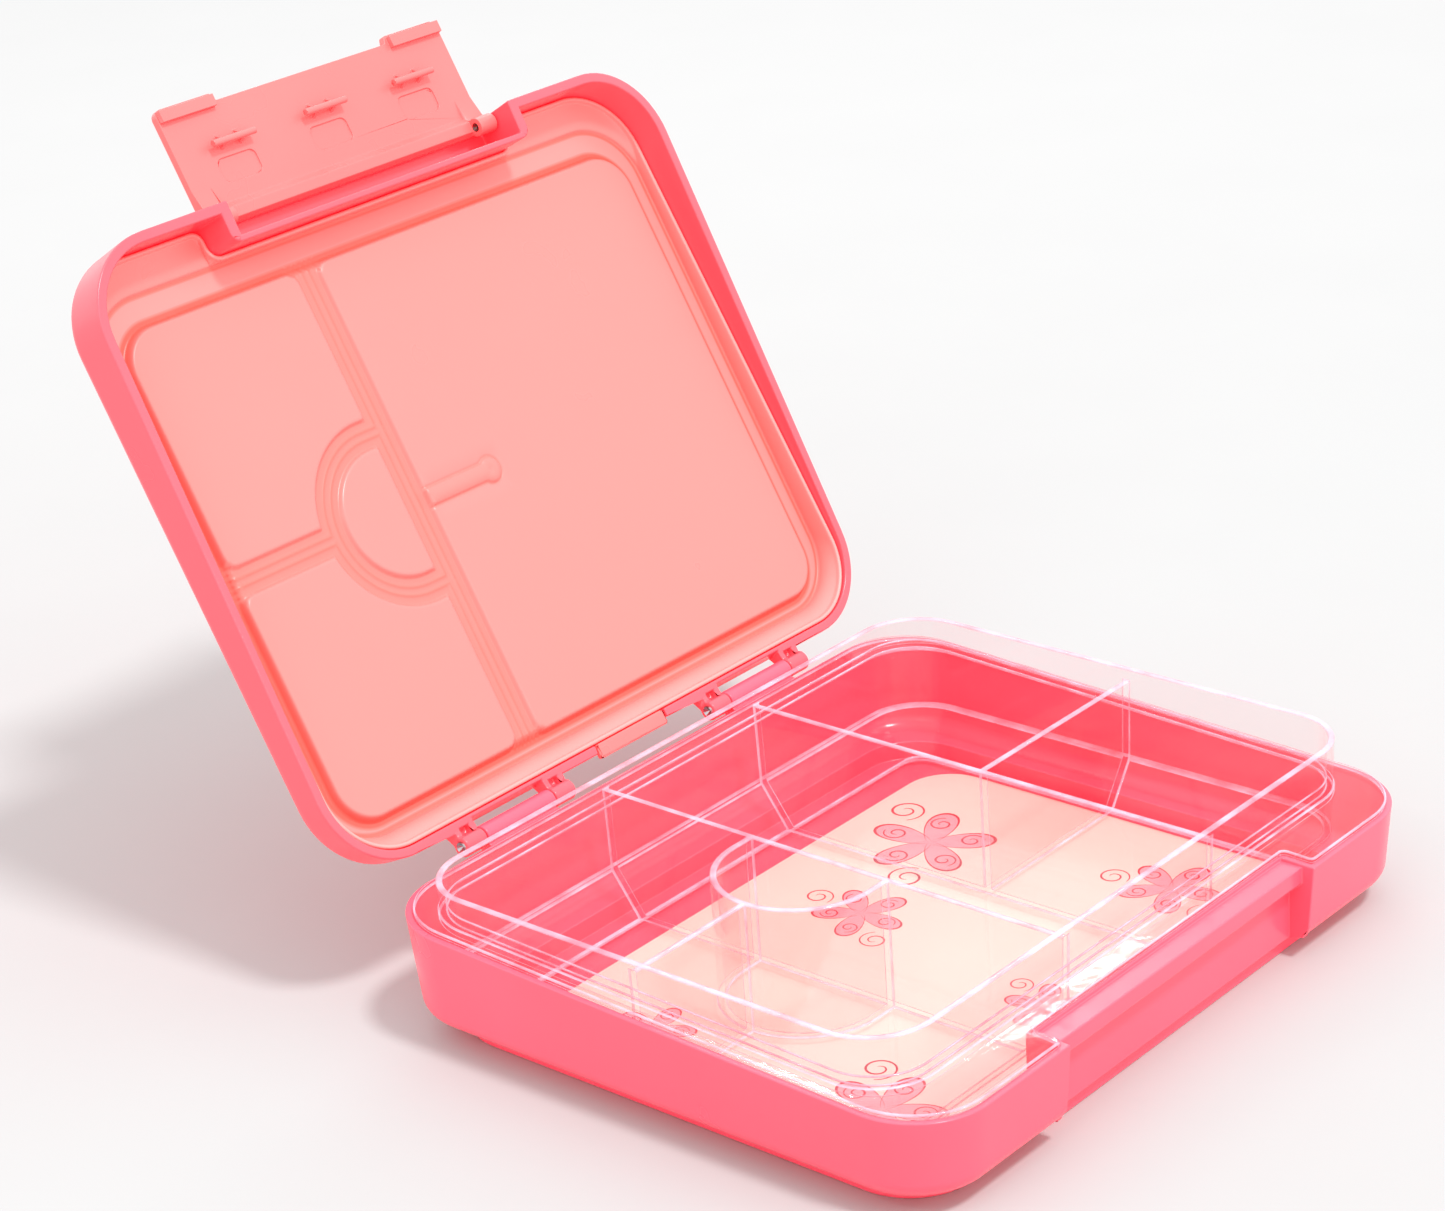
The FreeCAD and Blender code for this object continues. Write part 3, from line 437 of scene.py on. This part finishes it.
def seal_rings():
    """The seal's section from the middle of its back, over the bead, to the panel's border.

    Each ring is its points with heights, and a tint.
    """
    def level(points, height):
        return [(x, y, height) for x, y in points]

    made = [(level(jogged(PANEL, 4.0, 0.0), PANEL_Z + 2.5), 0.2),
            (level(jogged(PANEL, 2.5, 0.0), PANEL_Z + 2.5), 0.2),
            (level(jogged(PANEL, 2.3, 0.0), BACK_Z), 0.2),
            (level(jogged(SKIRT, 0.4), BACK_Z), 0.2),
            (level(jogged(SKIRT, 0.0), BACK_Z - 0.4), 0.2)]
    for turn in range(0, 181, 20):
        across = BEAD - BEAD * math.cos(math.radians(turn))
        rise = BEAD * math.sin(math.radians(turn))
        made.append(([(x, y, skirt_z(y) + BEAD - rise) for x, y in jogged(SKIRT, across)], 0.0))
    outer_edge = jogged(SKIRT, 2 * BEAD)
    room_edge = jogged(ROOM, 0.05, 0.0)
    steps = 14
    for step in range(1, steps + 1):
        share = step / steps
        ring = []
        for x, y in between(outer_edge, room_edge, smooth_step(share)):
            start = skirt_z(y) + 1.4
            ring.append((x, y, start + (PLATE_Z - 0.4 - start) * share ** 1.5))
        made.append((ring, 0.02 + 0.2 * share))
    # the deep channel round the panel is tinted dark: painted shade, with the thin seal's deeper colour
    made.append((level(jogged(ROOM, 0.5, 0.0), PLATE_Z), 0.75))
    made.append((level(jogged(ROOM, 1.0, 0.0), PLATE_Z), 0.75))
    made.append((level(jogged(ROOM, 1.6, 0.0), PLATE_Z - 0.13), 0.15))
    made.append((level(jogged(PANEL, -2.6, 0.0), PLATE_Z - 0.13), 0.15))
    return made


def band_distance(x, y):
    """How far a point of the panel is from the middle of the nearest groove."""
    found = abs(x - DIVIDER_X)
    if x < CUP_X:
        found = min(found, abs(math.hypot(x - CUP_X, y - CUP_Y) - CUP_R))
    elif x < DIVIDER_X:
        found = min(found, abs(abs(y - CUP_Y) - CUP_R))
    if x < CUP_X - CUP_R:
        found = min(found, abs(y - CUP_Y))
    return found


BAR_END = -1.0
BAR_ROOT = DIVIDER_X + GROOVE_HALF + 0.6
BAR_HALF = 2.9
BULB = 4.0


def bar_reach(x, y):
    """How far inside the short raised bar beside the cup, or its round end, a point is."""
    along = min(max(x, BAR_ROOT), BAR_END)
    return max(BAR_HALF - math.hypot(x - along, y - CUP_Y), BULB - math.hypot(x - BAR_END, y - CUP_Y))


def panel_inset(x, y):
    """How far inside the panel's rounded outline a point is."""
    corner = PANEL["corner"]
    over_x = abs(x) - (PANEL["half"] - corner)
    over_y = max(PANEL["front"] + corner - y, y - (PANEL["back"] - corner))
    outside = math.hypot(max(over_x, 0.0), max(over_y, 0.0)) + min(max(over_x, over_y), 0.0)
    return corner - outside


def panel_point(x, y):
    """Height and tint of the panel at a point: raised pads with rounded corners between the grooves."""
    inset = panel_inset(x, y)
    away = band_distance(x, y)
    beside = away - GROOVE_HALF
    turn = 4.0
    pad = min(inset, beside)
    if inset < turn and beside < turn:
        pad = turn - math.hypot(turn - inset, turn - beside)
    raised = smooth_step((pad + 0.3) / 1.3)
    open_floor = smooth_step((inset + 0.5) / 2.0)
    floor = (PLATE_Z - 0.15) * (1 - open_floor) + (PANEL_Z + GROOVE) * open_floor
    # groove floors, the fine line in each groove and the outline round the bar are tinted darker: painted
    # shade in these hollows, with the thin seal's deeper colour
    floor_tint = 0.95 * (1 - open_floor) + 0.5 * open_floor
    rib = 1 - smooth_step(abs(away - 1.2) / 0.7)
    reach = bar_reach(x, y)
    outline = 1 - smooth_step(abs(reach) / 0.7)
    bar = smooth_step(reach / 0.8)
    dimple = 1 - smooth_step(math.hypot(x - BAR_END, y - CUP_Y) / 0.7)
    height = floor + (PANEL_Z - floor) * raised - 0.25 * rib * open_floor * (1 - raised)
    height += (0.3 * outline - 0.55 * bar + 0.3 * dimple) * raised
    tint = floor_tint * (1 - raised) + (0.25 + 0.25 * outline + 0.1 * bar) * raised
    tint += 0.2 * rib * open_floor * (1 - raised)
    return height, tint


def panel_marks():
    """Points that the panel's mesh needs: a coarse grid, and rows along the border, grooves and bar."""
    pace = 1.2
    grid = 4
    near = 0.02
    offsets = (0.0, 0.5, 0.9, 1.2, 1.5, 1.9, 2.6, 3.1, 3.4, 3.7, 4.0, 4.3, 4.7, 5.3)
    made = []
    for side in (-1, 1):
        for offset in offsets:
            row = [(DIVIDER_X + side * offset, -68 + step * pace) for step in range(125)]
            row += [(-100 + step * pace, CUP_Y + side * offset) for step in range(34)]
            for leg in (-1, 1):
                row += [(CUP_X + step * pace, CUP_Y + leg * CUP_R + side * offset) for step in range(8)]
            row += arc_points(CUP_X, CUP_Y, CUP_R + side * offset, 90, 270, 64)
            made += [point for point in row if abs(band_distance(*point) - offset) < near]
    for reach in (-0.7, -0.35, 0.0, 0.35, 0.8):
        for side in (-1, 1):
            half = BAR_HALF - reach
            row = [(BAR_ROOT + step * 0.9, CUP_Y + side * half) for step in range(29)]
            row += arc_points(BAR_END, CUP_Y, BULB - reach, 0, side * 180, 24)
            made += [point for point in row if abs(bar_reach(*point) - reach) < near]
    made += arc_points(BAR_END, CUP_Y, 0.4, 0, 315, 7) + arc_points(BAR_END, CUP_Y, 0.8, 0, 330, 11)
    for inset in (-1.6, -1.0, -0.5, 0.0, 0.3, 0.6, 1.0, 1.5, 2.2, 3.2, 4.4):
        ring = jogged(PANEL, inset, 0.0)
        for first, second in zip(ring, ring[1:] + ring[:1]):
            length = math.dist(first, second)
            made.append(first)
            made += line_points(first, second, max(1, round(length / 1.6)))
    for x in range(-95, 96, grid):
        for y in range(-62, 75, grid):
            if band_distance(x, y) > 6.5 and panel_inset(x, y) > 5.5 and bar_reach(x, y) < -1.5:
                made.append((float(x), float(y)))
    return made


def make_seal():
    work = bmesh.new()
    tint = work.verts.layers.float.new("tint")
    rings = []
    for points, shade in seal_rings():
        ring = []
        for x, y, z in points:
            vertex = work.verts.new((x * MM, y * MM, z * MM))
            vertex[tint] = shade
            ring.append(vertex)
        rings.append(ring)
    count = len(rings[0])
    for first, second in zip(rings, rings[1:]):
        for step in range(count):
            after = (step + 1) % count
            work.faces.new((first[step], first[after], second[after], second[step]))
    work.faces.new(rings[0])
    edge = rings[-1]
    flat = [Vector((vertex.co.x / MM, vertex.co.y / MM)) for vertex in edge]
    border = [(step, (step + 1) % count) for step in range(count)]
    marks = [Vector(point) for point in panel_marks() if panel_inset(*point) > -2.2]
    points, _, faces, origins, _, _ = delaunay_2d_cdt(flat + marks, border, [], 1, 0.02)
    made = []
    for point, origin in zip(points, origins):
        known = [index for index in origin if index < count]
        if known:
            made.append(edge[known[0]])
            continue
        height, shade = panel_point(point.x, point.y)
        vertex = work.verts.new((point.x * MM, point.y * MM, height * MM))
        vertex[tint] = shade
        made.append(vertex)
    for face in faces:
        work.faces.new([made[index] for index in face])
    bmesh.ops.recalc_face_normals(work, faces=work.faces)
    bmesh.ops.transform(work, matrix=TO_OPEN, verts=work.verts)
    for face in work.faces:
        face.smooth = True
    mesh = bpy.data.meshes.new("seal")
    work.to_mesh(mesh)
    work.free()
    return place("seal", mesh, "seal", "seal", [seal_soft], "lid_seal")


make_seal()

# ---------------------------------------------------------------- tray ledges
TRAY_WALL = {"half": 102.5, "front": -71.95, "back": 79.75, "corner": 16.2,
             "jog": 58.2, "notch": -66.0, "inner": 3.5, "outer": 3.5}
FLANGE_Z = 33.0
FLANGE_SLOPE = 0.038
LEDGE_RADIUS = 0.28


def make_ledge(name, rise):
    """A fine rounded step around the inside of the tray's wall, level with its sloping flange."""
    sides = 8
    work = bmesh.new()
    loops = []
    for side_of in range(sides):
        turn = 2 * math.pi * side_of / sides
        outline = jogged(TRAY_WALL, LEDGE_RADIUS * math.cos(turn), 0.0)
        lift = rise + LEDGE_RADIUS * math.sin(turn)
        loops.append([work.verts.new((x * MM, y * MM, (FLANGE_Z + FLANGE_SLOPE * y + lift) * MM))
                      for x, y in outline])
    count = len(loops[0])
    for first, second in zip(loops, loops[1:] + loops[:1]):
        for step in range(count):
            after = (step + 1) % count
            work.faces.new((first[step], first[after], second[after], second[step]))
    bmesh.ops.recalc_face_normals(work, faces=work.faces)
    for face in work.faces:
        face.smooth = True
    mesh = bpy.data.meshes.new(name)
    work.to_mesh(mesh)
    work.free()
    return place(name, mesh, "tray", "clear", [painted_edge_glint])


# each ledge wears the edge material, so it shows as a painted bright line
make_ledge("tray_ledge_low", 0.0)
make_ledge("tray_ledge_high", 2.4)


# ---------------------------------------------------------------- card
def petal(cx, cy, length, width, turn):
    """A rounded petal that grows from a point."""
    made = []
    for step in range(28):
        angle = 2 * math.pi * step / 28
        along = length / 2 * (1 - math.cos(angle))
        across = -width / 2 * math.sin(angle) * (0.55 + 0.45 * along / length)
        c, s = math.cos(math.radians(turn)), math.sin(math.radians(turn))
        made.append((cx + along * c - across * s, cy + along * s + across * c))
    return made


def curl(cx, cy, radius, turns, start, width):
    """A ribbon that winds in on itself."""
    outer, inner = [], []
    steps = int(30 * turns)
    for step in range(steps + 1):
        share = step / steps
        angle = math.radians(start) + 2 * math.pi * turns * share
        reach = radius * (1 - 0.82 * share)
        half = width / 2 * math.sin(math.pi * min(share * 0.92 + 0.08, 1.0)) ** 0.5
        outer.append((cx + (reach + half) * math.cos(angle), cy + (reach + half) * math.sin(angle)))
        inner.append((cx + (reach - half) * math.cos(angle), cy + (reach - half) * math.sin(angle)))
    return outer + inner[::-1]


def motif(cx, cy, size, turn):
    """A plain round-petalled flower with a few curls: pale shapes, then dark lines."""
    pinks = [petal(cx, cy, size, size * 0.62, turn + step * 72) for step in range(5)]
    darks = []
    for step in range(5):
        inner = petal(cx, cy, size * 0.95, size * 0.56, turn + step * 72)
        darks.append(pinks[step][1:] + inner[:0:-1])
    for step in range(5):
        away = math.radians(turn + step * 72)
        darks.append(curl(cx + size * 0.62 * math.cos(away), cy + size * 0.62 * math.sin(away),
                          size * 0.2, 1.4, turn + step * 72, size * 0.035))
    for step in (0, 2):
        away = math.radians(turn + 36 + step * 72)
        darks.append(curl(cx + size * 1.15 * math.cos(away), cy + size * 1.15 * math.sin(away),
                          size * 0.32, 1.6, turn + 200 + step * 72, size * 0.04))
    return pinks, darks


def make_card():
    low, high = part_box("card_liner")
    low, high = low / MM, high / MM
    corner = 14.0
    outline = []
    for cx, cy, start in ((high.x - corner, low.y + corner, 270), (high.x - corner, high.y - corner, 0),
                          (low.x + corner, high.y - corner, 90), (low.x + corner, low.y + corner, 180)):
        outline += arc_points(cx, cy, corner, start, start + 90)
    shapes = [(outline, 0)]
    for cx, cy, size, turn in ((52, 34, 19, 20), (8, 24, 14, 50), (-70, -44, 17, 5), (66, -38, 15, 64),
                               (-6, -48, 12, 30), (-72, 30, 12, 80)):
        pinks, darks = motif(cx, cy, size, turn)
        shapes += [(shape, 1) for shape in pinks] + [(shape, 2) for shape in darks]
    verts, faces = [], []
    for shape, _ in shapes:
        faces.append(list(range(len(verts), len(verts) + len(shape))))
        verts += [Vector(point) for point in shape]
    points, _, pieces, _, _, sources = delaunay_2d_cdt(verts, [], faces, 1, 0.001)
    work = bmesh.new()
    top = [work.verts.new((point.x * MM, point.y * MM, high.z * MM)) for point in points]
    for piece, source in zip(pieces, sources):
        face = work.faces.new([top[index] for index in piece])
        face.material_index = max((shapes[index][1] for index in source), default=0)
    solid = bmesh.ops.extrude_face_region(work, geom=list(work.faces))
    under = [item for item in solid["geom"] if isinstance(item, bmesh.types.BMVert)]
    bmesh.ops.translate(work, verts=under, vec=(0, 0, (low.z - high.z) * MM))
    bmesh.ops.recalc_face_normals(work, faces=work.faces)
    for face in work.faces:
        if face.normal.z < 0.5:
            face.material_index = 0
    mesh = bpy.data.meshes.new("card")
    work.to_mesh(mesh)
    work.free()
    return place("card", mesh, "base", "card", [card_paper, ink_pink, ink_dark], "card_liner")


make_card()

# ---------------------------------------------------------------- studio
FLOOR_REACH = 4.0
FLOOR_GREY = 0.478
WORLD_STRENGTH = 1.35
SUN_ENERGY = 1.97
SUN_ANGLE = math.radians(9)
SUN_ELEVATION = math.radians(61.5)
STRIP_LENGTH = 0.7
STRIP_WIDTH = 0.012
STRIP_POWER = 1.1
STRIP_SPOTS = {"strip_back": (0.75, 0.75, 0.75),
               "strip_left": (-0.95, -0.1, 0.9),
               "strip_front": (0.3, -1.2, 0.7)}
STRIP_TARGET = Vector((0, 0, 0.05))

floor_mesh = bpy.data.meshes.new("floor")
floor_corners = [(x * FLOOR_REACH, y * FLOOR_REACH, 0) for x, y in ((-1, -1), (1, -1), (1, 1), (-1, 1))]
floor_mesh.from_pydata(floor_corners, [], [(0, 1, 2, 3)])
floor_paper = moulded("floor_paper", (FLOOR_GREY, FLOOR_GREY, FLOOR_GREY), 0.9, vary=0.005)
floor_paper.node_tree.nodes["Principled BSDF"].inputs["Specular IOR Level"].default_value = 0.0
floor_mesh.materials.append(floor_paper)
floor_plane = bpy.data.objects.new("floor", floor_mesh)
scene.collection.objects.link(floor_plane)

world = bpy.data.worlds.new("studio")
world.use_nodes = True
world.node_tree.nodes["Background"].inputs["Color"].default_value = (1.0, 1.0, 1.0, 1.0)
world.node_tree.nodes["Background"].inputs["Strength"].default_value = WORLD_STRENGTH
scene.world = world


def pointed(obj, direction):
    """Turns a lamp or camera to look along a direction."""
    obj.rotation_mode = "QUATERNION"
    obj.rotation_quaternion = Vector(direction).to_track_quat("-Z", "Y")


sun = bpy.data.objects.new("sun", bpy.data.lights.new("sun", "SUN"))
sun.data.energy = SUN_ENERGY
sun.data.angle = SUN_ANGLE
scene.collection.objects.link(sun)
pointed(sun, (0, math.cos(SUN_ELEVATION), -math.sin(SUN_ELEVATION)))

for name, spot in STRIP_SPOTS.items():
    strip = bpy.data.objects.new(name, bpy.data.lights.new(name, "AREA"))
    strip.data.shape = "RECTANGLE"
    strip.data.size = STRIP_LENGTH
    strip.data.size_y = STRIP_WIDTH
    strip.data.energy = STRIP_POWER
    strip.location = spot
    scene.collection.objects.link(strip)
    pointed(strip, STRIP_TARGET - Vector(spot))

CAMERA_AZIMUTH = -48.23
CAMERA_ELEVATION = 23.0
CAMERA_ROLL = -4.03
CAMERA_DISTANCE = 1.00951
CAMERA_TARGET = Vector((0.01635, 0.07438, 0.07939))
CAMERA_LENS = 91.51
azimuth, elevation = math.radians(CAMERA_AZIMUTH), math.radians(CAMERA_ELEVATION)
away = Vector((math.sin(azimuth) * math.cos(elevation), -math.cos(azimuth) * math.cos(elevation),
               math.sin(elevation)))
side = Vector((0, 0, 1)).cross(away).normalized()
upward = away.cross(side)
roll = math.radians(CAMERA_ROLL)
camera = bpy.data.objects.new("camera", bpy.data.cameras.new("camera"))
camera.data.lens = CAMERA_LENS
camera.data.sensor_width = 36.0
camera.data.sensor_fit = "HORIZONTAL"
camera.data.clip_start = 0.01
camera.data.clip_end = 20.0
turned = Matrix((math.cos(roll) * side + math.sin(roll) * upward,
                 -math.sin(roll) * side + math.cos(roll) * upward, away)).transposed()
camera.matrix_world = Matrix.Translation(CAMERA_TARGET + away * CAMERA_DISTANCE) @ turned.to_4x4()
scene.collection.objects.link(camera)
scene.camera = camera
scene.view_settings.view_transform = "Standard"
scene.view_settings.look = "None"
scene.cycles.transparent_max_bounces = 40
scene.cycles.diffuse_bounces = 8
